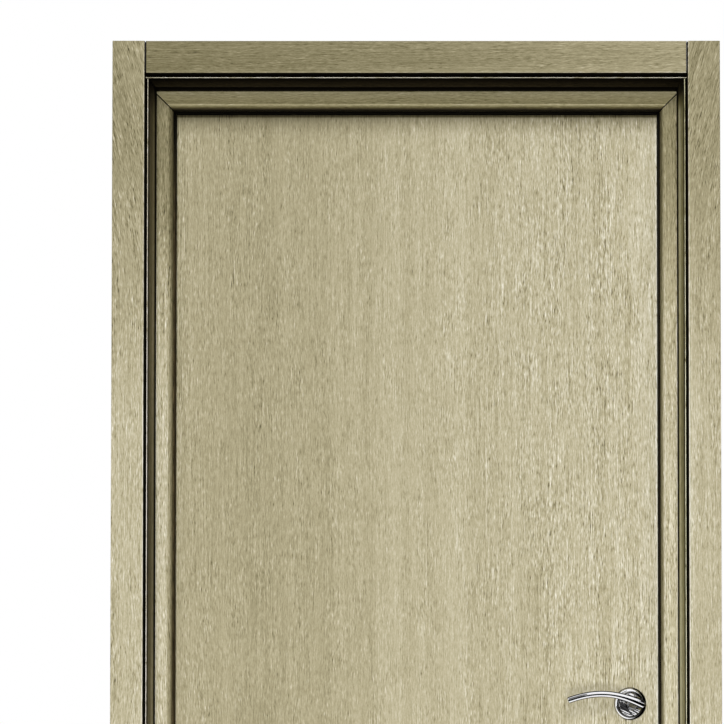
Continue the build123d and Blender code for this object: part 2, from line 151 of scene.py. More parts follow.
def place_along(tree, axis):
    """Where a point lies along one axis of the part's frame, in metres."""
    return add(tree, "ShaderNodeSeparateXYZ", {0: object_place(tree)}).outputs[axis]


def calc(tree, operation, a, b=0.0, c=0.0):
    """The result of one maths operation."""
    return add(tree, "ShaderNodeMath", {0: a, 1: b, 2: c}, operation=operation).outputs[0]


def remap(tree, value, low, high, to_low=0.0, to_high=1.0):
    """A value between low and high, moved to between to_low and to_high and clamped there."""
    inputs = {"Value": value, "From Min": low, "From Max": high, "To Min": to_low, "To Max": to_high}
    return add(tree, "ShaderNodeMapRange", inputs).outputs["Result"]


def mix(tree, factor, a, b):
    """Two colours mixed by a factor."""
    return add(tree, "ShaderNodeMix", {0: factor, 6: a, 7: b}, data_type="RGBA").outputs[2]


def dot(tree, a, b):
    """How far two directions agree, from -1 to 1."""
    return add(tree, "ShaderNodeVectorMath", {0: a, 1: b}, operation="DOT_PRODUCT").outputs["Value"]


def colour_stops(tree, share, stops):
    """A colour read from a row of (share, colour) stops."""
    node = add(tree, "ShaderNodeValToRGB", {"Fac": share})
    elements = node.color_ramp.elements
    while len(elements) < len(stops):
        elements.new(0.5)
    for element, (position, colour) in zip(elements, stops):
        element.position = position
        element.color = colour
    return node.outputs["Color"]


def noise(tree, vector, scale, detail=2.0, rough=0.5, shift=(0.0, 0.0, 0.0)):
    """Noise that is scaled apart along each axis, with scales in waves per metre."""
    scaled = add(tree, "ShaderNodeMapping", {"Vector": vector, "Scale": scale, "Location": shift})
    inputs = {"Vector": scaled.outputs[0], "Scale": 1.0, "Detail": detail, "Roughness": rough}
    return add(tree, "ShaderNodeTexNoise", inputs).outputs["Fac"]


def shade_stops(tree, share, stops):
    """A brightness read from a row of (share, brightness) stops, which may go over 1."""
    top = max(shade for place, shade in stops)
    ramp = colour_stops(tree, share, [(place, (shade / top,) * 3 + (1.0,)) for place, shade in stops])
    return calc(tree, "MULTIPLY", ramp, top)


def bump(tree, height, distance):
    """A bump from a height between 0 and 1 that stands for a distance in metres."""
    return add(tree, "ShaderNodeBump", {"Height": height, "Distance": distance}).outputs["Normal"]


# Wood

AXIS_X, AXIS_Y, AXIS_Z = 0, 1, 2
LEFT, RIGHT = (-1.0, 0.0, 0.0), (1.0, 0.0, 0.0)
UP, DOWN = (0.0, 0.0, 1.0), (0.0, 0.0, -1.0)
TO_FRONT, TO_BACK = (0.0, -1.0, 0.0), (0.0, 1.0, 0.0)
MITRE_RISING, MITRE_FALLING = (0.7071, 0.0, 0.7071), (0.7071, 0.0, -0.7071)
FRONT_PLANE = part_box("hinge_side_extension")[0].y
JAMB_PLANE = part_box("hinge_jamb")[0].y
STOP_EDGES = (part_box("hinge_jamb")[1].x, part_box("strike_jamb")[0].x)
STOP_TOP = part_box("head_jamb")[0].z
HEAD_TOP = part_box("front_head_architrave")[1].z

# Colours of the oak from the painted shade in its joints to the painted highlight on its lightest arris,
# and of raw board
OAK_STOPS = [linear(23, 20, 15), linear(67, 60, 45), linear(116, 109, 79), linear(154, 146, 115)]
OAK_STOPS += [linear(175, 166, 135), linear(196, 188, 159), linear(216, 210, 188)]
OAK_STOPS += [linear(243, 239, 224)]
OAK_BRIGHTEST = OAK_STOPS[-1][0]
OAK_ROUGHNESS, OAK_GLOSS, OAK_RELIEF = (0.62, 0.5), 0.03, 0.0003
RAW_BOARD, RAW_BOARD_DARK = linear(176, 142, 98), linear(146, 112, 72)
RAW_BOARD_ROUGHNESS = 0.85
BOARD_FIBRES, BOARD_CLOUDS = [900.0] * 3, [14.0] * 3
BOARD_FIBRE_SPAN, FIBRE_SHARES = (0.55, 0.75), (0.0, 0.4)

# Figure of the oak, as waves per metre across and along the grain. Wanders also have a reach in metres
WANDERS = ((5.0, 1.5, 0.03), (11.0, 5.0, 0.006), (40.0, 14.0, 0.0025))
BANDS, COLUMNS, LINES = (16.0, 0.4), (45.0, 0.3), (740.0, 7.0)
CLUSTERS, PATCHES = (30.0, 1.5), (50.0, 18.0)
SPECKS, PORES, FLECKS = (820.0, 300.0), (620.0, 45.0), (820.0, 95.0)
FLECK_SHIFT = 2.3

# How strongly each part of the figure shows
BAND_SHARE, COLUMN_SHARE, LINE_SHARE = 0.26, 0.03, 1.15
FLECK_SHARE, FLECK_BASE, FLECK_GROWTH = 1.1, 0.6, 2.5
SPECK_SHARE, PORE_SHARE, PORE_DEPTH = 0.38, 0.08, 0.5
COLUMN_SPAN, PORE_SPAN = (0.44, 0.56), (0.34, 0.26)
CLUSTER_SPAN, CLUSTER_SHARES = (0.4, 0.62), (0.85, 1.12)
PATCH_SPAN, PATCH_SHARES = (0.35, 0.65), (0.75, 1.25)
LEAN_HEIGHT = 0.45

# Edges with a painted highlight or painted shade, and joints with painted shade: spans of the turn of a
# face or of a distance in metres
EDGE_RADIUS, EDGE_TURN = 0.0012, (0.995, 0.85)
FACING_TURN, MITRE_TURN = (0.85, 0.95), (0.9, 0.98)
LIP_DEPTH, LIP_SHADE = 0.0005, (0.0009, 0.0013)
END_SHADE, MITRE_SHADE, MITRE_MARGIN = (0.0009, 0.0012), (0.0011, 0.0007), 0.001
PAINTED_JOINT_SHADE = 0.03
HEAD_SHADE = (1.965, 2.008)


@dataclass
class OakLook:
    """How one oak piece looks: grain direction, tones along an axis, lean and relief of the grain."""

    grain: int
    tones: list
    tone_axis: int = AXIS_Z
    lean: float = 0.0
    bare: tuple = None
    inner: tuple = None
    inner_shades: list = None
    inner_depth: float = None
    lip: list = None
    lip_start: float = None
    lining_shades: list = None
    edge: float = 1.2
    head_shades: list = None
    tint: tuple = (1.0, 1.0, 1.0)
    relief: tuple = ((0.0, 1.0), (1.0, 1.0))
    mitred: bool = False
    dark_ends: tuple = None
    gloss: float = OAK_GLOSS


def along_grain(axis, across, along):
    """A scale or a shift that differs across and along the grain's axis."""
    return [along if i == axis else across for i in range(3)]


def grain_noise(tree, flow, axis, scale, detail=1.0, rough=0.5, shift=0.0):
    """Noise with its scale given across and along the grain, and a shift across it."""
    return noise(tree, flow, along_grain(axis, *scale), detail, rough, along_grain(axis, shift, 0.0))


def add_shift(tree, flow, parts):
    """A place moved by three parts, each a number or a socket."""
    shift = add(tree, "ShaderNodeCombineXYZ", dict(enumerate(parts))).outputs[0]
    return add(tree, "ShaderNodeVectorMath", {0: flow, 1: shift}, operation="ADD").outputs[0]


def lean_at_head(tree, flow, lean):
    """Grain that runs upright and leans over more and more near the head of the frame."""
    up = place_along(tree, AXIS_Z)
    rise = calc(tree, "MAXIMUM", calc(tree, "SUBTRACT", up, HEAD_TOP - LEAN_HEIGHT), 0.0)
    bow = calc(tree, "MULTIPLY", calc(tree, "MULTIPLY", rise, rise), lean / (2 * LEAN_HEIGHT))
    return add_shift(tree, flow, (bow, 0.0, 0.0))


def relief_share(tree, look, flow):
    """How strongly the grain's relief shows, along the piece and in upright clusters and patches."""
    start, end = look.relief[0][0], look.relief[-1][0]
    stops = [((spot - start) / (end - start), share) for spot, share in look.relief]
    share = shade_stops(tree, remap(tree, place_along(tree, look.tone_axis), start, end), stops)
    cluster = grain_noise(tree, flow, look.grain, CLUSTERS)
    patch = grain_noise(tree, flow, look.grain, PATCHES)
    share = calc(tree, "MULTIPLY", share, remap(tree, cluster, *CLUSTER_SPAN, *CLUSTER_SHARES))
    return calc(tree, "MULTIPLY", share, remap(tree, patch, *PATCH_SPAN, *PATCH_SHARES))


def oak_grain(tree, look, offset):
    """Figure of brushed oak, about 1 on average, with a painted highlight and painted shade on its flecks,
    and the height of its relief.
    """
    axis = look.grain
    flow = add(tree, "ShaderNodeMapping", {"Vector": object_place(tree), "Location": offset}).outputs[0]
    if look.lean:
        flow = lean_at_head(tree, flow, look.lean)
    for across, along, reach in WANDERS:
        wander = grain_noise(tree, flow, axis, (across, along))
        drift = calc(tree, "MULTIPLY", calc(tree, "SUBTRACT", wander, 0.5), reach)
        flow = add_shift(tree, flow, along_grain(axis, drift, 0.0))

    band = grain_noise(tree, flow, axis, BANDS, detail=2.0)
    column = grain_noise(tree, flow, axis, COLUMNS, detail=0.0)
    line = grain_noise(tree, flow, axis, LINES, rough=0.6)
    speck = grain_noise(tree, flow, axis, SPECKS)
    pore = grain_noise(tree, flow, axis, PORES)
    side_light = grain_noise(tree, flow, axis, FLECKS)
    side_dark = grain_noise(tree, flow, axis, FLECKS, shift=FLECK_SHIFT)

    # Flecks have a painted highlight on one side and painted shade on the other, as on raised grain, with
    # few strong ones
    relief = relief_share(tree, look, flow)
    fleck = calc(tree, "SUBTRACT", side_light, side_dark)
    strength = calc(tree, "MULTIPLY_ADD", calc(tree, "ABSOLUTE", fleck), FLECK_GROWTH, FLECK_BASE)
    fleck = calc(tree, "MULTIPLY", calc(tree, "MULTIPLY", fleck, strength), relief)
    dark_pore = calc(tree, "MULTIPLY", remap(tree, pore, *PORE_SPAN), relief)
    long_line = calc(tree, "MULTIPLY", calc(tree, "SUBTRACT", line, 0.5), relief)

    figure = remap(tree, column, *COLUMN_SPAN, 1.0 - COLUMN_SHARE, 1.0 + COLUMN_SHARE)
    figure = calc(tree, "MULTIPLY_ADD", calc(tree, "SUBTRACT", band, 0.5), BAND_SHARE, figure)
    figure = calc(tree, "MULTIPLY_ADD", long_line, LINE_SHARE, figure)
    figure = calc(tree, "MULTIPLY_ADD", fleck, FLECK_SHARE, figure)
    figure = calc(tree, "MULTIPLY_ADD", calc(tree, "SUBTRACT", speck, 0.5), SPECK_SHARE, figure)
    figure = calc(tree, "MULTIPLY_ADD", dark_pore, -PORE_SHARE, figure)
    height = calc(tree, "MULTIPLY_ADD", dark_pore, -PORE_DEPTH, side_light)
    return figure, height


def oak_tone(tree, axis, tones):
    """Lightness along an axis, from (place in metres, display level) pairs."""
    first, last = tones[0][0], tones[-1][0]
    stops = []
    for place, level in tones:
        value = decode(level)
        stops.append(((place - first) / (last - first), (value, value, value, 1.0)))
    return colour_stops(tree, remap(tree, place_along(tree, axis), first, last), stops)


def painted_edge_mask(tree):
    """1 along sharp edges and 0 on faces, for the highlight or shade painted there."""
    rounded = add(tree, "ShaderNodeBevel", {"Radius": EDGE_RADIUS}, samples=4).outputs[0]
    true_normal = add(tree, "ShaderNodeNewGeometry").outputs["True Normal"]
    return remap(tree, dot(tree, rounded, true_normal), *EDGE_TURN)


def raw_board(tree):
    """Unfinished fibreboard, as on the backs that face the wall."""
    place = object_place(tree)
    fibre = noise(tree, place, BOARD_FIBRES, detail=3.0, rough=0.7)
    cloud = noise(tree, place, BOARD_CLOUDS)
    colour = mix(tree, remap(tree, cloud, *NOISE_SPAN), RAW_BOARD_DARK, RAW_BOARD)
    return mix(tree, remap(tree, fibre, *BOARD_FIBRE_SPAN, *FIBRE_SHARES), colour, RAW_BOARD_DARK)


def depth_mask(tree, limit):
    """1 in front of a depth along Y and 0 behind it."""
    return calc(tree, "LESS_THAN", place_along(tree, AXIS_Y), limit)


def on_mitre(tree, facing):
    """1 on faces that are cut at 45 degrees across a corner and along the joint there, and 0 elsewhere."""
    largest = 0.0
    for way, corner_x in ((MITRE_RISING, STOP_EDGES[0]), (MITRE_FALLING, STOP_EDGES[1])):
        cut = remap(tree, calc(tree, "ABSOLUTE", dot(tree, facing, way)), *MITRE_TURN)
        joint = Vector(way).dot(Vector((corner_x, 0.0, STOP_TOP)))
        gap = calc(tree, "ABSOLUTE", calc(tree, "SUBTRACT", dot(tree, object_place(tree), way), joint))
        for part in (cut, remap(tree, gap, *MITRE_SHADE)):
            largest = calc(tree, "MAXIMUM", largest, part)
    at_corner = calc(tree, "GREATER_THAN", place_along(tree, AXIS_Z), STOP_TOP - MITRE_MARGIN)
    return calc(tree, "MULTIPLY", largest, at_corner)


def lining_tone(tree, look, facing, tone):
    """The tone of a lining, with painted shade along its depth and a painted highlight on its front lip
    between edges of painted shade.
    """
    along_depth = remap(tree, place_along(tree, AXIS_Y), FRONT_PLANE, JAMB_PLANE)
    tone = calc(tree, "MULTIPLY", tone, shade_stops(tree, along_depth, look.lining_shades))
    to_front = remap(tree, dot(tree, facing, TO_FRONT), *FACING_TURN)
    outward = dot(tree, object_place(tree), look.bare)
    shade_start, shade_end = (look.lip_start + reach for reach in LIP_SHADE)
    lit = calc(tree, "MULTIPLY", depth_mask(tree, FRONT_PLANE + LIP_DEPTH), to_front)
    lit = calc(tree, "MULTIPLY", lit, remap(tree, outward, shade_start, shade_end))
    lip_part = calc(tree, "MULTIPLY", lit, oak_tone(tree, look.tone_axis, look.lip))
    rest = calc(tree, "MULTIPLY", calc(tree, "SUBTRACT", 1.0, to_front), tone)
    return calc(tree, "ADD", lip_part, rest)


def tone_shades(tree, look, facing):
    """Shares of the tone for painted highlights and painted shade: at edges, inner faces, the leaf's head,
    board ends and mitres.
    """
    # Painted highlight or painted shade along sharp edges
    found = [remap(tree, painted_edge_mask(tree), 0.0, 1.0, 1.0, look.edge)]
    if look.inner is not None:
        turned = calc(tree, "MULTIPLY", dot(tree, facing, look.inner), depth_mask(tree, look.inner_depth))
        found.append(shade_stops(tree, turned, look.inner_shades))
    if look.head_shades is not None:
        near_head = remap(tree, place_along(tree, AXIS_Z), *HEAD_SHADE)
        found.append(shade_stops(tree, near_head, look.head_shades))
    # Painted shade at the ends of a board, where it meets the next one
    if look.dark_ends is not None:
        low, high = look.dark_ends
        along = place_along(tree, look.tone_axis)
        from_low, from_high = calc(tree, "SUBTRACT", along, low), calc(tree, "SUBTRACT", high, along)
        inside = calc(tree, "MINIMUM", from_low, from_high)
        found.append(remap(tree, inside, *END_SHADE, PAINTED_JOINT_SHADE, 1.0))
    # Painted shade on the mitre faces and along the mitre joint
    if look.mitred:
        found.append(remap(tree, on_mitre(tree, facing), 0.0, 1.0, 1.0, PAINTED_JOINT_SHADE))
    return found


def oak(name, look, offset):
    """Bleached, brushed oak, with a painted highlight on the lip, painted shade on inner faces and a bare
    side where it has them.
    """
    material, tree, shader = new_material(name)
    facing = add(tree, "ShaderNodeTexCoord").outputs["Normal"]
    figure, height = oak_grain(tree, look, offset)
    tone = oak_tone(tree, look.tone_axis, look.tones)
    if look.lip is not None:
        tone = lining_tone(tree, look, facing, tone)
    for shade in tone_shades(tree, look, facing):
        tone = calc(tree, "MULTIPLY", tone, shade)
    share = calc(tree, "DIVIDE", calc(tree, "MULTIPLY", tone, figure), OAK_BRIGHTEST)
    colour = colour_stops(tree, share, [(stop[0] / OAK_BRIGHTEST, stop) for stop in OAK_STOPS])
    colour = add(tree, "ShaderNodeVectorMath", {0: colour, 1: look.tint}, operation="MULTIPLY").outputs[0]
    roughness = remap(tree, height, *NOISE_SPAN, *OAK_ROUGHNESS)
    if look.bare is not None:
        bare = remap(tree, dot(tree, facing, look.bare), *FACING_TURN)
        colour = mix(tree, bare, colour, raw_board(tree))
        bare_roughness = calc(tree, "MULTIPLY", bare, RAW_BOARD_ROUGHNESS)
        roughness = calc(tree, "MAXIMUM", roughness, bare_roughness)
    tree.links.new(colour, shader.inputs["Base Color"])
    tree.links.new(roughness, shader.inputs["Roughness"])
    tree.links.new(bump(tree, height, OAK_RELIEF), shader.inputs["Normal"])
    shader.inputs["Specular IOR Level"].default_value = look.gloss
    return material


PINE_EARLY, PINE_LATE = linear(214, 180, 128), linear(178, 132, 78)
PINE_RINGS, PINE_FIBRES, RING_COUNT = (60.0, 1.5), (700.0, 30.0), 60.0
RING_SPAN, PINE_FIBRE_SPAN = (-0.2, 1.0), (0.5, 0.75)
PINE_ROUGHNESS, PINE_RELIEF = (0.6, 0.8), 0.0003


def pine(name, axis):
    """Planed softwood, as on the stiles and rails that show at the leaf's ends."""
    material, tree, shader = new_material(name)
    place = object_place(tree)
    rings = grain_noise(tree, place, axis, PINE_RINGS)
    bands = calc(tree, "SINE", calc(tree, "MULTIPLY", rings, RING_COUNT))
    fibre = grain_noise(tree, place, axis, PINE_FIBRES, detail=2.0)
    colour = mix(tree, remap(tree, bands, *RING_SPAN), PINE_EARLY, PINE_LATE)
    colour = mix(tree, remap(tree, fibre, *PINE_FIBRE_SPAN, *FIBRE_SHARES), colour, PINE_LATE)
    tree.links.new(colour, shader.inputs["Base Color"])
    tree.links.new(bump(tree, fibre, PINE_RELIEF), shader.inputs["Normal"])
    tree.links.new(remap(tree, fibre, *NOISE_SPAN, *PINE_ROUGHNESS), shader.inputs["Roughness"])
    return material


# Metal and rubber

CHROME_LIGHT, CHROME_DARK = linear(253, 253, 254), linear(241, 241, 243)
# Black and dark chrome for painted shadow and painted dark reflections
PAINTED_CHROME_BLACK, PAINTED_CHROME_DARK = linear(8, 8, 9), linear(30, 30, 31)
# Darker chrome for painted shade on the levers' necks
SHADED_NECK_LIGHT, SHADED_NECK_DARK = linear(96, 96, 97), linear(44, 44, 45)
CHROME_SMEARS, CHROME_SCRATCHES = [60.0] * 3, [900.0] * 3
SMEAR_SPAN, CHROME_ROUGHNESS, CHROME_RELIEF = (0.35, 0.75), (0.03, 0.07), 0.00001

# Painted shadow and dark reflection on the roses' rim, painted shade in their step, and the streaks on
# their domed face, in metres from the spindle
RIM_START, RIM_WAY, RIM_TURN = (0.0252, 0.0202), (0.94, 0.0, -0.34), (-0.3, 1.0)
STEP_START, STEP_END, STEP_BLUR = 0.0182, 0.0201, 0.0004
ROSE_FACE, ROSE_DOME, ROSE_FADE = 0.019, 0.06, 0.001
STREAK_WAY, STREAK_SIDE = (0.9, 0.0, -0.43), (0.43, 0.0, 0.9)
STREAKS, STREAK_DEPTH = [40.0, 260.0, 1.0], 0.0018

STEEL_LIGHT, STEEL_DARK, STEEL_STAIN = linear(204, 204, 205), linear(168, 168, 170), linear(138, 135, 130)
STEEL_BRUSH, STEEL_STAINS = [1800.0, 1800.0, 60.0], [40.0, 40.0, 25.0]
STAIN_SPAN, STAIN_SHARES = (0.55, 0.8), (0.0, 0.35)
STEEL_ROUGHNESS, STEEL_RELIEF = (0.26, 0.42), 0.00004

RUBBER_BLACK, RUBBER_DUST = linear(9, 8, 6), linear(92, 80, 56)
RUBBER_SKIN, DUST_SPOTS = [1400.0] * 3, [300.0, 300.0, 40.0]
DUST_SPAN, DUST_FADE_TO_HEAD_SHADE = (0.3, 0.65), (1.80, 1.96)
HINGE_SIDE_DUST, FAINT_DUST = 1.0, 0.15
RUBBER_ROUGHNESS, RUBBER_RELIEF, RUBBER_GLOSS = (0.6, 0.8), 0.00008, 0.02


def chrome(name, light, dark):
    """Polished chrome plate with faint wiping marks."""
    material, tree, shader = new_material(name)
    place = object_place(tree)
    smear = noise(tree, place, CHROME_SMEARS, detail=3.0, rough=0.6)
    scratch = noise(tree, place, CHROME_SCRATCHES)
    tree.links.new(mix(tree, remap(tree, smear, *NOISE_SPAN), dark, light), shader.inputs["Base Color"])
    tree.links.new(remap(tree, smear, *SMEAR_SPAN, *CHROME_ROUGHNESS), shader.inputs["Roughness"])
    tree.links.new(bump(tree, scratch, CHROME_RELIEF), shader.inputs["Normal"])
    shader.inputs["Metallic"].default_value = 1.0
    return material


def spindle_axis():
    """Where the spindle's axis lies, across and up."""
    low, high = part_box("spindle")
    return (low.x + high.x) / 2, (low.z + high.z) / 2


def from_spindle(tree):
    """A point's offset from the spindle's axis, with the depth left out, and its distance from the axis."""
    across, up = spindle_axis()
    inputs = {0: object_place(tree), 1: (across, 0.0, up)}
    offset = add(tree, "ShaderNodeVectorMath", inputs, operation="SUBTRACT").outputs[0]
    inputs = {0: offset, 1: (1.0, 0.0, 1.0)}
    flat = add(tree, "ShaderNodeVectorMath", inputs, operation="MULTIPLY").outputs[0]
    return flat, add(tree, "ShaderNodeVectorMath", {0: flat}, operation="LENGTH").outputs["Value"]


def wavy_chrome(name, light, dark):
    """Chrome with a domed, wavy polish, painted shade in its step and a painted shadow and dark reflection
    on its rim, wider at the lower right.
    """
    material = chrome(name, light, dark)
    tree = material.node_tree
    shader = tree.nodes["Principled BSDF"]
    plate = shader.inputs["Base Color"].links[0].from_socket
    flat, radius = from_spindle(tree)
    turn = calc(tree, "DIVIDE", dot(tree, flat, RIM_WAY), radius)
    rim = calc(tree, "SUBTRACT", radius, remap(tree, turn, *RIM_TURN, *RIM_START))
    above, below = calc(tree, "SUBTRACT", radius, STEP_START), calc(tree, "SUBTRACT", STEP_END, radius)
    step = calc(tree, "MINIMUM", above, below)
    painted_shadow_part = remap(tree, calc(tree, "MAXIMUM", rim, step), 0.0, STEP_BLUR)
    tree.links.new(mix(tree, painted_shadow_part, plate, PAINTED_CHROME_BLACK), shader.inputs["Base Color"])
    streak_parts = {0: dot(tree, flat, STREAK_WAY), 1: dot(tree, flat, STREAK_SIDE)}
    streak_place = add(tree, "ShaderNodeCombineXYZ", streak_parts).outputs[0]
    streak = noise(tree, streak_place, STREAKS, detail=1.0)
    reach = calc(tree, "MINIMUM", radius, ROSE_FACE)
    dome = calc(tree, "MULTIPLY", calc(tree, "MULTIPLY", reach, reach), -0.5 / ROSE_DOME)
    inner = remap(tree, radius, ROSE_FACE, ROSE_FACE - ROSE_FADE, 0.0, STREAK_DEPTH)
    height = calc(tree, "ADD", calc(tree, "MULTIPLY", streak, inner), dome)
    tree.links.new(bump(tree, height, 1.0), shader.inputs["Normal"])
    return material


def satin_steel():
    """Satin steel, brushed along the height of the plates."""
    material, tree, shader = new_material("satin_steel")
    place = object_place(tree)
    brush = noise(tree, place, STEEL_BRUSH, detail=3.0, rough=0.7)
    stain = noise(tree, place, STEEL_STAINS, detail=3.0)
    colour = mix(tree, brush, STEEL_DARK, STEEL_LIGHT)
    colour = mix(tree, remap(tree, stain, *STAIN_SPAN, *STAIN_SHARES), colour, STEEL_STAIN)
    tree.links.new(colour, shader.inputs["Base Color"])
    tree.links.new(remap(tree, brush, *NOISE_SPAN, *STEEL_ROUGHNESS), shader.inputs["Roughness"])
    tree.links.new(bump(tree, brush, STEEL_RELIEF), shader.inputs["Normal"])
    shader.inputs["Metallic"].default_value = 1.0
    return material


def seal_rubber(name, dust_level):
    """Soft black sealing strip with a fine moulded skin, and brown dust that fades out towards the head as
    painted shade.
    """
    material, tree, shader = new_material(name)
    place = object_place(tree)
    skin = noise(tree, place, RUBBER_SKIN)
    dust = noise(tree, place, DUST_SPOTS, detail=3.0)
    # The dust fades to black near the head: painted shade
    reach = remap(tree, place_along(tree, AXIS_Z), *DUST_FADE_TO_HEAD_SHADE, dust_level, 0.0)
    dusty = calc(tree, "MULTIPLY", remap(tree, dust, *DUST_SPAN), reach)
    tree.links.new(mix(tree, dusty, RUBBER_BLACK, RUBBER_DUST), shader.inputs["Base Color"])
    tree.links.new(remap(tree, skin, *NOISE_SPAN, *RUBBER_ROUGHNESS), shader.inputs["Roughness"])
    tree.links.new(bump(tree, skin, RUBBER_RELIEF), shader.inputs["Normal"])
    shader.inputs["Specular IOR Level"].default_value = RUBBER_GLOSS
    return material


# Finish of every CAD node

LEAN = math.tan(math.radians(17.0))

# Painted shade: the frame is darker towards its head. The leaf is lighter towards its lock edge, with a
# painted highlight line by the seal there
ARCHITRAVE_TONES = [(1.50, 190), (1.70, 176), (1.95, 152)]
HINGE_JAMB_TONES = [(1.50, 197), (1.66, 187), (1.85, 147), (1.93, 137)]
STRIKE_JAMB_TONES = [(1.50, 197), (1.66, 186), (1.85, 156), (1.93, 143)]
HEAD_ARCHITRAVE_TONES = [(0.0, 131), (0.45, 144), (0.88, 169)]
# The head jamb has a painted highlight on its lower arris, painted light towards its top against the head
# lining's shadow, and painted shade in the gap at its top
HEAD_JAMB_TONES = [(2.0020, 120), (2.0045, 150), (2.0068, 190), (2.0086, 136)]
HEAD_JAMB_TONES += [(2.0272, 182), (2.0282, 20), (2.031, 20)]
LEAF_TONES = [(0.05, 174), (0.29, 171), (0.44, 184), (0.66, 188)]
LEAF_TONES += [(0.8238, 194), (0.8248, 234), (0.8282, 234), (0.83, 190)]
SIDE_RELIEF, HEAD_RELIEF = ((1.5, 0.72), (1.9, 1.0)), ((0.0, 0.6), (1.0, 0.6))
LEAF_RELIEF = ((0.05, 0.74), (0.5, 0.6), (0.68, 0.95))
# Painted shadow along the top of the leaf below the head seal, as (share of the way through HEAD_SHADE,
# share)
LEAF_SHADES = [(0.0, 1.0), (0.37, 0.88), (0.625, 0.83), (0.685, 0.28), (0.77, 0.28), (0.8, 0.95)]
# Painted shade: the linings are darker towards the head, the hinge side's darker than the strike side's,
# and the head lining nearly black
HINGE_LINING_TONES = [(1.07, 132), (1.22, 112), (1.35, 106), (1.60, 127)]
HINGE_LINING_TONES += [(1.90, 116), (1.98, 102), (2.01, 64), (2.03, 24)]
STRIKE_LINING_TONES = [(1.07, 206), (1.22, 198), (1.38, 168), (1.53, 156), (1.69, 176)]
STRIKE_LINING_TONES += [(1.97, 196), (1.99, 186), (2.005, 120), (2.02, 40)]
HEAD_LINING_TONES = [(0.0, 42), (0.88, 38)]
# Painted highlights on the linings' front lips
SIDE_LIP_TONES = [(1.50, 242), (1.95, 200)]
HEAD_LIP_TONES = [(0.0, 240), (0.88, 236)]

# Painted shade on rounded stops and on boards' inner edges, with a painted highlight where the share goes
# over 1, as (turn towards the doorway, share)
HINGE_STOP = [(0.0, 1.0), (0.2, 0.95), (0.4, 0.7), (1.0, 0.5)]
STRIKE_STOP = [(0.0, 1.0), (0.2, 1.1), (0.55, 0.97), (0.66, 0.7), (0.85, 0.45), (1.0, 0.55)]
HEAD_STOP = [(0.0, 1.0), (0.3, 0.92), (0.5, 0.75), (0.75, 0.3), (1.0, 0.04)]
ARRIS_HIGHLIGHT_AND_GAP_SHADE = [(0.0, 1.0), (0.1, 1.6), (0.75, 1.6), (0.95, 0.03)]
HEAD_TINT = (1.0, 0.99, 0.88)
HINGE_LINING_TINT, STRIKE_LINING_TINT = (1.0, 1.0, 1.08), (1.0, 1.03, 0.88)
STOP_DEPTH, BOARD_DEPTH = JAMB_PLANE + 0.012, FRONT_PLANE + 0.02

# Share of the tone along sharp edges: over 1 a painted highlight, under 1 painted shade
BOARD_EDGE, JAMB_EDGE, LINING_EDGE = 0.8, 1.6, 0.25

# Painted shade on the linings' inner faces, lighter where the share goes over 1, as (share of the way from
# the front lip to the jamb, share)
SIDE_LINING_SHADES = [(0.0, 0.08), (0.12, 0.5), (0.25, 0.85), (0.45, 1.0)]
SIDE_LINING_SHADES += [(0.72, 2.0), (0.84, 1.3), (0.9, 0.04)]
HEAD_LINING_SHADES = [(0.0, 0.05), (0.72, 1.7), (0.97, 2.8), (1.0, 1.2)]


def front_board(grain, tones, axis, lean, inner):
    """An architrave on the push side: its edge towards the doorway has a painted highlight on the arris and
    painted shade into the joint.
    """
    return OakLook(grain, tones, axis, lean, TO_BACK, inner, ARRIS_HIGHLIGHT_AND_GAP_SHADE, BOARD_DEPTH, edge=BOARD_EDGE)


def back_board(grain, tones, axis, lean):
    """An architrave on the pull side."""
    return OakLook(grain, tones, axis, lean, TO_FRONT)


def jamb(grain, tones, bare, inner, shades):
    """A jamb with painted shade and highlights on its rounded stop, painted highlights along its edges and
    painted shade on its mitres.
    """
    return OakLook(grain, tones, AXIS_Z, 0.0, bare, inner, shades, STOP_DEPTH, edge=JAMB_EDGE, mitred=True)


def lining(node, grain, tones, lip, axis, bare, shades):
    """A lining with a painted highlight on its front lip between edges of painted shade."""
    inner_face = min(corner.dot(Vector(bare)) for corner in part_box(node))
    look = OakLook(grain, tones, axis, bare=bare, edge=LINING_EDGE)
    look.lip, look.lip_start, look.lining_shades = lip, inner_face, shades
    return look


def side_lining(node, tones, bare):
    """An upright lining."""
    return lining(node, AXIS_Z, tones, SIDE_LIP_TONES, AXIS_Z, bare, SIDE_LINING_SHADES)


def head_lining():
    """The lining below the head architrave, dull, with painted shade in its near-black tones."""
    shades = HEAD_LINING_SHADES
    look = lining("head_extension", AXIS_X, HEAD_LINING_TONES, HEAD_LIP_TONES, AXIS_X, UP, shades)
    look.gloss = 0.0
    return look


def leaf_face():
    """A face or an edge of the leaf, with painted shadow along its top below the head seal."""
    return OakLook(AXIS_Z, LEAF_TONES, AXIS_X, head_shades=LEAF_SHADES, relief=LEAF_RELIEF)


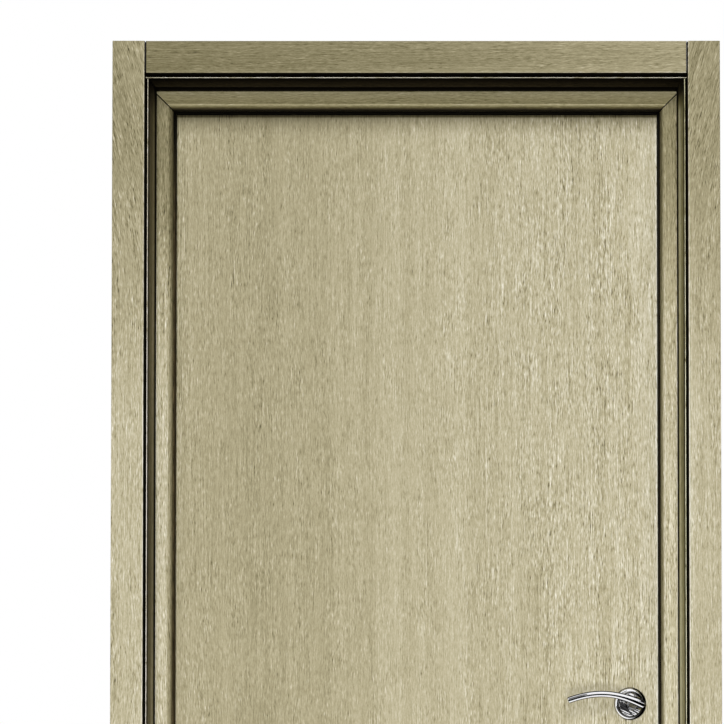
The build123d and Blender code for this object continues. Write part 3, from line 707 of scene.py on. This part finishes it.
oak_looks = {
    "hinge_jamb": jamb(AXIS_Z, HINGE_JAMB_TONES, LEFT, RIGHT, HINGE_STOP),
    "strike_jamb": jamb(AXIS_Z, STRIKE_JAMB_TONES, RIGHT, LEFT, STRIKE_STOP),
    "head_jamb": jamb(AXIS_X, HEAD_JAMB_TONES, UP, DOWN, HEAD_STOP),
    "hinge_side_extension": side_lining("hinge_side_extension", HINGE_LINING_TONES, LEFT),
    "strike_side_extension": side_lining("strike_side_extension", STRIKE_LINING_TONES, RIGHT),
    "head_extension": head_lining(),
    "front_hinge_side_architrave": front_board(AXIS_Z, ARCHITRAVE_TONES, AXIS_Z, LEAN, RIGHT),
    "front_strike_side_architrave": front_board(AXIS_Z, ARCHITRAVE_TONES, AXIS_Z, -LEAN, LEFT),
    "front_head_architrave": front_board(AXIS_X, HEAD_ARCHITRAVE_TONES, AXIS_X, 0.0, DOWN),
    "back_hinge_side_architrave": back_board(AXIS_Z, ARCHITRAVE_TONES, AXIS_Z, -LEAN),
    "back_strike_side_architrave": back_board(AXIS_Z, ARCHITRAVE_TONES, AXIS_Z, LEAN),
    "back_head_architrave": back_board(AXIS_X, HEAD_ARCHITRAVE_TONES, AXIS_X, 0.0),
    "front_skin": leaf_face(),
    "back_skin": leaf_face(),
    "hinge_edge_band": leaf_face(),
    "lock_edge_band": leaf_face(),
}
oak_looks["head_jamb"].tint = HEAD_TINT
oak_looks["hinge_side_extension"].tint = HINGE_LINING_TINT
oak_looks["strike_side_extension"].tint = STRIKE_LINING_TINT
for name in ("head_jamb", "front_head_architrave", "back_head_architrave"):
    oak_looks[name].relief = HEAD_RELIEF
for name in ("front_head_architrave", "back_head_architrave"):
    oak_looks[name].dark_ends = [corner.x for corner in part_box(name)]
for face in ("front", "back"):
    for side in ("hinge", "strike"):
        oak_looks[f"{face}_{side}_side_architrave"].relief = SIDE_RELIEF
OFFSET_STEP = Vector((0.37, 0.53, 0.71))


def finish_node(name, material):
    """Gives a CAD node one material."""
    mesh = nodes[name].data
    mesh.materials.clear()
    mesh.materials.append(material)


for index, (name, look) in enumerate(oak_looks.items()):
    finish_node(name, oak(f"oak_{name}", look, OFFSET_STEP * (index + 1)))

pine_upright = pine("pine_upright", AXIS_Z)
pine_level = pine("pine_level", AXIS_X)
steel = satin_steel()
rose_chrome = wavy_chrome("rose_chrome", CHROME_LIGHT, CHROME_DARK)
shaded_neck_chrome = wavy_chrome("shaded_neck_chrome", SHADED_NECK_LIGHT, SHADED_NECK_DARK)
lever_chrome = chrome("lever_chrome", CHROME_LIGHT, CHROME_DARK)
# Dark chrome for painted dark reflections along the levers' edges and ridge
dark_reflection_chrome = chrome("dark_reflection_chrome", PAINTED_CHROME_DARK, PAINTED_CHROME_BLACK)
dusty_rubber = seal_rubber("dusty_seal_rubber", HINGE_SIDE_DUST)
rubber = seal_rubber("seal_rubber", FAINT_DUST)
for name in ("hinge_stile", "lock_stile"):
    finish_node(name, pine_upright)
for name in ("top_rail", "bottom_rail"):
    finish_node(name, pine_level)
finish_node("hinge_side_seal", dusty_rubber)
for name in ("strike_side_seal", "head_seal"):
    finish_node(name, rubber)
for name in ("front_rose", "back_rose"):
    finish_node(name, rose_chrome)
for name in ("front_lever", "back_lever"):
    finish_node(name, lever_chrome)
steel_nodes = ["strike_plate", "latch_forend", "latch_bolt", "spindle"]
for place in ("upper", "lower"):
    steel_nodes += [f"{place}_hinge_{part}" for part in ("frame_plate", "leaf_plate", "pin")]
for name in steel_nodes:
    finish_node(name, steel)

# Levers: smooth bars with a ridged front, each on a neck that leans up to it

# Arch of the bar from its root past the spindle to its tip, as curve handles across and up from the axis
LEVER_ARCH = [(0.0146, 0.0078), (-0.0275, 0.0275), (-0.0594, 0.0306), (-0.1039, 0.0149)]
LEVER_STATIONS, LEVER_ROUNDING = 18, 3
LEVER_HALF_DEPTH = 0.0045
LEVER_ROOT_HALF, LEVER_BAR_HALF = 0.0064, 0.0051
LEVER_NARROWING = 0.4
LEVER_END = 0.0018
# Drawn-in ends, as shares of the end's length and of the section
LEVER_END_LOOPS = [(1.0, 0.55), (0.3, 0.9)]
# Section as shares of half height and half depth, from the ridge round the top, with each strip's finish:
# plain chrome, or dark chrome for a painted dark reflection
LIGHT_STRIP, DARK_REFLECTION_STRIP = 0, 1
RIDGE_LIMIT, RIDGE_AT_ROOT = 0.4, 1.45
LEVER_SECTION = [
    (0.0, 1.0, DARK_REFLECTION_STRIP),
    (0.25, 0.88, LIGHT_STRIP),
    (0.32, 0.84, LIGHT_STRIP),
    (0.66, 0.63, LIGHT_STRIP),
    (0.74, 0.58, DARK_REFLECTION_STRIP),
    (0.97, 0.28, DARK_REFLECTION_STRIP),
    (1.0, 0.0, LIGHT_STRIP),
    (0.75, -0.7, LIGHT_STRIP),
    (0.0, -1.0, LIGHT_STRIP),
    (-0.75, -0.7, LIGHT_STRIP),
    (-1.0, 0.0, DARK_REFLECTION_STRIP),
    (-0.97, 0.3, DARK_REFLECTION_STRIP),
    (-0.66, 0.63, LIGHT_STRIP),
    (-0.58, 0.68, LIGHT_STRIP),
    (-0.32, 0.84, LIGHT_STRIP),
    (-0.25, 0.88, DARK_REFLECTION_STRIP),
]
# Neck, as shares of the way to the bar, radii and shares of the lean
LEVER_NECK = [(0.0, 0.0086, 0.0), (0.23, 0.0086, 0.0), (0.4, 0.0080, 0.1)]
LEVER_NECK += [(0.65, 0.0074, 0.55), (1.0, 0.0060, 1.0)]
LEVER_NECK_SPOT = 0.1
NECK_INSET = 0.0015
NECK_SIDES = 16
# The neck takes the chrome with painted shade
NECK_FINISH = 2


def arch_point(share):
    """Place and direction of the lever's arch at that share of its length."""
    a, b, c, d = (Vector(point) for point in LEVER_ARCH)
    rest = 1.0 - share
    place = rest**3 * a + 3 * rest**2 * share * b + 3 * rest * share**2 * c + share**3 * d
    way = rest**2 * (b - a) + 2 * rest * share * (c - b) + share**2 * (d - c)
    return place, way.normalized()


def join_loops(mesh, loops, finishes):
    """Faces between loops of points, one after another, with a finish for each strip."""
    count = len(loops[0])
    for near, far in zip(loops, loops[1:]):
        for i in range(count):
            j = (i + 1) % count
            face = mesh.faces.new((near[i], near[j], far[j], far[i]))
            face.material_index = finishes[i]


def close_ends(mesh, loops, finish):
    """A face across the first loop and one across the last."""
    for loop in (loops[0], loops[-1]):
        mesh.faces.new(loop).material_index = finish


def add_piece(name, mesh, materials):
    """An object made from a finished mesh, which is freed."""
    bmesh.ops.recalc_face_normals(mesh, faces=mesh.faces)
    data = bpy.data.meshes.new(name)
    mesh.to_mesh(data)
    mesh.free()
    for material in materials:
        data.materials.append(material)
    piece = bpy.data.objects.new(name, data)
    bpy.context.scene.collection.objects.link(piece)
    return piece


def lever_bar(mesh, seat):
    """The arched bar: ridged sections along the arch, with drawn-in ends."""
    stations = [(0.0, -reach * LEVER_END, size) for reach, size in LEVER_END_LOOPS]
    stations += [(i / (LEVER_STATIONS - 1), 0.0, 1.0) for i in range(LEVER_STATIONS)]
    stations += [(1.0, reach * LEVER_END, size) for reach, size in reversed(LEVER_END_LOOPS)]
    loops = []
    for share, beyond, size in stations:
        place, way = arch_point(share)
        place = place + beyond * way
        narrowed = min(share / LEVER_NARROWING, 1.0)
        half_height = size * (LEVER_ROOT_HALF + narrowed * (LEVER_BAR_HALF - LEVER_ROOT_HALF))
        normal = Vector((way.y, -way.x))
        loop = []
        for up, out, finish in LEVER_SECTION:
            if abs(up) < RIDGE_LIMIT:
                up *= RIDGE_AT_ROOT + narrowed * (1.0 - RIDGE_AT_ROOT)
            spot = place + up * half_height * normal
            loop.append(mesh.verts.new(seat(spot.x, spot.y, out * size * LEVER_HALF_DEPTH)))
        loops.append(loop)
    join_loops(mesh, loops, [finish for up, out, finish in LEVER_SECTION])
    close_ends(mesh, loops, LIGHT_STRIP)


def lever_neck(mesh, seat, reach):
    """The round neck from inside the rose to the bar."""
    lean = arch_point(LEVER_NECK_SPOT)[0]
    loops = []
    for share, radius, leaning in LEVER_NECK:
        loop = []
        for i in range(NECK_SIDES):
            angle = 2 * math.pi * i / NECK_SIDES
            across = leaning * lean.x + radius * math.cos(angle)
            up = leaning * lean.y + radius * math.sin(angle)
            loop.append(mesh.verts.new(seat(across, up, (share - 1.0) * reach)))
        loops.append(loop)
    join_loops(mesh, loops, [NECK_FINISH] * NECK_SIDES)
    close_ends(mesh, loops, NECK_FINISH)


def build_lever(name, way, leaf_face):
    """A lever on one side of the leaf, in place of its CAD node. The way is -1 at the front."""
    axis_x, axis_z = spindle_axis()
    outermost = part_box(name)[0].y if way < 0 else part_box(name)[1].y
    bar_y = outermost - way * LEVER_HALF_DEPTH

    def seat(across, up, out):
        return (axis_x + across, bar_y + way * out, axis_z + up)

    mesh = bmesh.new()
    lever_bar(mesh, seat)
    lever_neck(mesh, seat, abs(bar_y - leaf_face) - NECK_INSET)
    for face in mesh.faces:
        face.smooth = True
    piece = add_piece(f"{name}_bar", mesh, (lever_chrome, dark_reflection_chrome, shaded_neck_chrome))
    rounding = piece.modifiers.new("rounding", "SUBSURF")
    rounding.levels = rounding.render_levels = LEVER_ROUNDING
    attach(piece, "lever")
    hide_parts(name)


build_lever("front_lever", -1.0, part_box("front_skin")[0].y)
build_lever("back_lever", 1.0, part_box("back_skin")[1].y)

# Screws

RIM_STEPS = 48


def ring(mesh, steps, reach, height):
    """A closed loop of points about Z. The reach is a function of the angle."""
    points = []
    for i in range(steps):
        angle = 2 * math.pi * i / steps
        radius = reach(angle)
        points.append(mesh.verts.new((radius * math.cos(angle), radius * math.sin(angle), height)))
    return points


def round_head(name, rings, material):
    """A turned head: loops of points joined one after another, with the last one closed by a face."""
    mesh = bmesh.new()
    loops = [ring(mesh, RIM_STEPS, reach, height) for reach, height in rings]
    join_loops(mesh, loops, [0] * RIM_STEPS)
    mesh.faces.new(loops[-1])
    return add_piece(name, mesh, (material,))


def circle(radius):
    """The reach of a round loop."""
    return lambda angle: radius


def cross(radius, waist):
    """The reach of a cross-shaped loop with four arms."""
    return lambda angle: radius * max(waist, abs(math.cos(2 * angle)) ** 5)


def hexagon(radius):
    """The reach of a hexagonal loop."""
    sixth = math.pi / 3
    return lambda angle: radius * math.cos(sixth / 2) / math.cos(angle % sixth - sixth / 2)


def place_head(piece, centre, normal, turn, body):
    """Sets a head on a face that looks along the normal, and hangs it on a body."""
    facing = Vector(normal).to_track_quat("Z", "Y").to_matrix().to_4x4()
    piece.matrix_world = Matrix.Translation(centre) @ facing @ Matrix.Rotation(turn, 4, "Z")
    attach(piece, body)


def cross_screw(name, centre, normal, radius, turn, body):
    """Raised countersunk screw with a cross recess."""
    rings = [(circle(share * radius), rise * SCREW_PROUD) for share, rise in SCREW_PROFILE]
    recess = RECESS_RADIUS * radius
    rings.append((cross(recess, RECESS_WAIST), SCREW_PROUD))
    rings.append((cross(RECESS_TAPER * recess, RECESS_WAIST), -RECESS_DEPTH * SCREW_PROUD))
    place_head(round_head(name, rings, steel), centre, normal, turn, body)


def grub_screws():
    """A grub screw with a hexagonal socket under the neck of each lever."""
    rings = [(circle(share * GRUB_RADIUS), rise * GRUB_RADIUS) for share, rise in GRUB_PROFILE]
    rings += [(hexagon(share * GRUB_RADIUS), rise * GRUB_RADIUS) for share, rise in GRUB_SOCKET]
    across, up = spindle_axis()
    depths = {
        "front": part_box("front_rose")[0].y - GRUB_ABOVE_ROSE,
        "back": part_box("back_rose")[1].y + GRUB_ABOVE_ROSE,
    }
    for side, place in depths.items():
        screw = round_head(f"{side}_lever_grub_screw", rings, steel)
        place_head(screw, (across, place, up - NECK_RADIUS), DOWN, 0.0, "lever")


def hinge_screws(place):
    """Four screws on each plate of a hinge, on the faces that meet when the leaf is shut."""
    for part, body, way in (("frame_plate", "frame", 1.0), ("leaf_plate", "leaf", -1.0)):
        node = f"{place}_hinge_{part}"
        low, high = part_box(node)
        face = (low.x + high.x) / 2 - way * HINGE_GAP / 2
        for index, (inward, up) in enumerate(HINGE_SCREW_SPOTS):
            centre = Vector((face, low.y + inward, low.z + up * (high.z - low.z)))
            name = f"{node}_screw_{index + 1}"
            turn = HINGE_SCREW_TURN + HINGE_SCREW_TURN_STEP * index
            cross_screw(name, centre, (way, 0.0, 0.0), HINGE_SCREW_RADIUS, turn, body)


def plate_screws(node, body, way):
    """One screw near each end of a plate whose open face looks along X."""
    low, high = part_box(node)
    face = high.x if way > 0 else low.x
    for index, up in enumerate(PLATE_SCREW_SPOTS):
        centre = Vector((face, (low.y + high.y) / 2, low.z + up * (high.z - low.z)))
        name = f"{node}_screw_{index + 1}"
        turn = PLATE_SCREW_TURN + PLATE_SCREW_TURN_STEP * index
        cross_screw(name, centre, (way, 0.0, 0.0), PLATE_SCREW_RADIUS, turn, body)


for place in ("upper", "lower"):
    hinge_screws(place)
grub_screws()
plate_screws("latch_forend", "leaf", 1.0)
plate_screws("strike_plate", "frame", -1.0)

# Stage


def link_stage(name, data, material, location):
    """Adds a mesh that belongs to the stage and not to the object."""
    data.materials.append(material)
    piece = bpy.data.objects.new(name, data)
    piece.location = location
    bpy.context.scene.collection.objects.link(piece)
    return piece


def build_world():
    """White to the camera and in reflections, and a soft even light on everything else."""
    world = bpy.data.worlds.new("studio")
    bpy.context.scene.world = world
    world.use_nodes = True
    tree = world.node_tree
    background = tree.nodes["Background"]
    rays = add(tree, "ShaderNodeLightPath")
    seen = calc(tree, "MAXIMUM", rays.outputs["Is Camera Ray"], rays.outputs["Is Glossy Ray"])
    seen = calc(tree, "MAXIMUM", seen, rays.outputs["Is Transmission Ray"])
    tree.links.new(remap(tree, seen, 0.0, 1.0, AMBIENT, 1.0), background.inputs["Strength"])
    background.inputs["Color"].default_value = (1.0, 1.0, 1.0, 1.0)


def build_floor(middle_x):
    """Pale round floor that fades into the white surroundings at its rim."""
    data = bpy.data.meshes.new("floor")
    mesh = bmesh.new()
    bmesh.ops.create_circle(mesh, cap_ends=True, segments=FLOOR_SEGMENTS, radius=FLOOR_RADIUS)
    mesh.to_mesh(data)
    mesh.free()
    material, tree, shader = new_material("floor")
    reach = add(tree, "ShaderNodeVectorMath", {0: object_place(tree)}, operation="LENGTH").outputs["Value"]
    rays = add(tree, "ShaderNodeLightPath")
    rim = remap(tree, reach, FLOOR_FADE * FLOOR_RADIUS, FLOOR_RADIUS)
    rim = calc(tree, "MULTIPLY", rim, rays.outputs["Is Camera Ray"])
    rim = calc(tree, "MAXIMUM", rim, rays.outputs["Is Glossy Ray"])
    shader.inputs["Base Color"].default_value = (FLOOR_GREY, FLOOR_GREY, FLOOR_GREY, 1.0)
    shader.inputs["Roughness"].default_value = FLOOR_ROUGHNESS
    white = add(tree, "ShaderNodeEmission")
    blend = add(tree, "ShaderNodeMixShader", {0: rim, 1: shader.outputs[0], 2: white.outputs[0]})
    tree.links.new(blend.outputs[0], tree.nodes["Material Output"].inputs["Surface"])
    link_stage("floor", data, material, (middle_x, 0.0, cad_box[0][2] - FLOOR_DROP))


def dark_card(name, ranges, level):
    """A dark card that only mirror-like surfaces see, flat along the axis whose range is a single place."""
    material, tree, shader = new_material(name)
    glow = add(tree, "ShaderNodeEmission", {"Strength": level})
    tree.links.new(glow.outputs[0], tree.nodes["Material Output"].inputs["Surface"])
    first, second = [i for i in range(3) if ranges[i][0] != ranges[i][1]]
    corners = []
    for i, j in ((0, 0), (1, 0), (1, 1), (0, 1)):
        corner = [low for low, high in ranges]
        corner[first], corner[second] = ranges[first][i], ranges[second][j]
        corners.append(corner)
    data = bpy.data.meshes.new(name)
    data.from_pydata(corners, [], [range(4)])
    card = link_stage(name, data, material, (0.0, 0.0, 0.0))
    card.visible_camera = False
    card.visible_diffuse = False
    card.visible_transmission = False
    card.visible_shadow = False


def build_cards():
    """The dark cards, on the push side and mirrored to the pull side."""
    for name, (x_range, y_range, z_range, level) in CARDS.items():
        dark_card(f"push_{name}", (x_range, y_range, z_range), level)
        dark_card(f"pull_{name}", (x_range, [-y for y in y_range], z_range), level)


def build_lights(middle):
    """Suns one above the other in front, for a tall strip of light, and one sun behind."""
    suns = [(elevation, share, -1.0) for elevation, share in SUN_STRIP] + [(*BACK_SUN, 1.0)]
    for index, (elevation, share, side_way) in enumerate(suns):
        rise = math.radians(elevation)
        level = math.cos(rise)
        data = bpy.data.lights.new(f"sun_{index + 1}", "SUN")
        data.energy = math.pi * FRONT_LIGHT * share / level
        data.angle = SUN_ANGLE
        sun = bpy.data.objects.new(f"sun_{index + 1}", data)
        side, front = -level * math.sin(SUN_AZIMUTH), side_way * level * math.cos(SUN_AZIMUTH)
        way = Vector((side, front, math.sin(rise)))
        sun.location = middle + SUN_DISTANCE * way
        sun.rotation_euler = (-way).to_track_quat("-Z", "Y").to_euler()
        sun.visible_glossy = False
        bpy.context.scene.collection.objects.link(sun)


def build_camera():
    """The photograph's view: level with the upper part of the leaf, tilted up a little."""
    middle_x = (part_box("hinge_jamb")[1].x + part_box("strike_jamb")[0].x) / 2
    leaf_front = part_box("front_skin")[0].y
    data = bpy.data.cameras.new("camera")
    data.sensor_width = SENSOR_MM
    data.lens = FOCAL_PIXELS / IMAGE_SIDE * SENSOR_MM
    data.shift_x = (IMAGE_SIDE / 2 - AXIS_PIXEL[0]) / IMAGE_SIDE
    data.shift_y = (AXIS_PIXEL[1] - IMAGE_SIDE / 2) / IMAGE_SIDE
    data.clip_start = CLIP_START
    camera = bpy.data.objects.new("camera", data)
    camera.location = (middle_x + CAMERA_SIDE, leaf_front - CAMERA_DISTANCE, CAMERA_HEIGHT)
    camera.rotation_euler = (math.pi / 2 + CAMERA_TILT, 0.0, 0.0)
    bpy.context.scene.collection.objects.link(camera)
    bpy.context.scene.camera = camera


middle_x = (cad_box[0][0] + cad_box[1][0]) / 2
build_world()
build_floor(middle_x)
build_cards()
build_lights(Vector((middle_x, 0.0, LIT_HEIGHT)))
build_camera()
bpy.context.scene.view_settings.view_transform = "Standard"
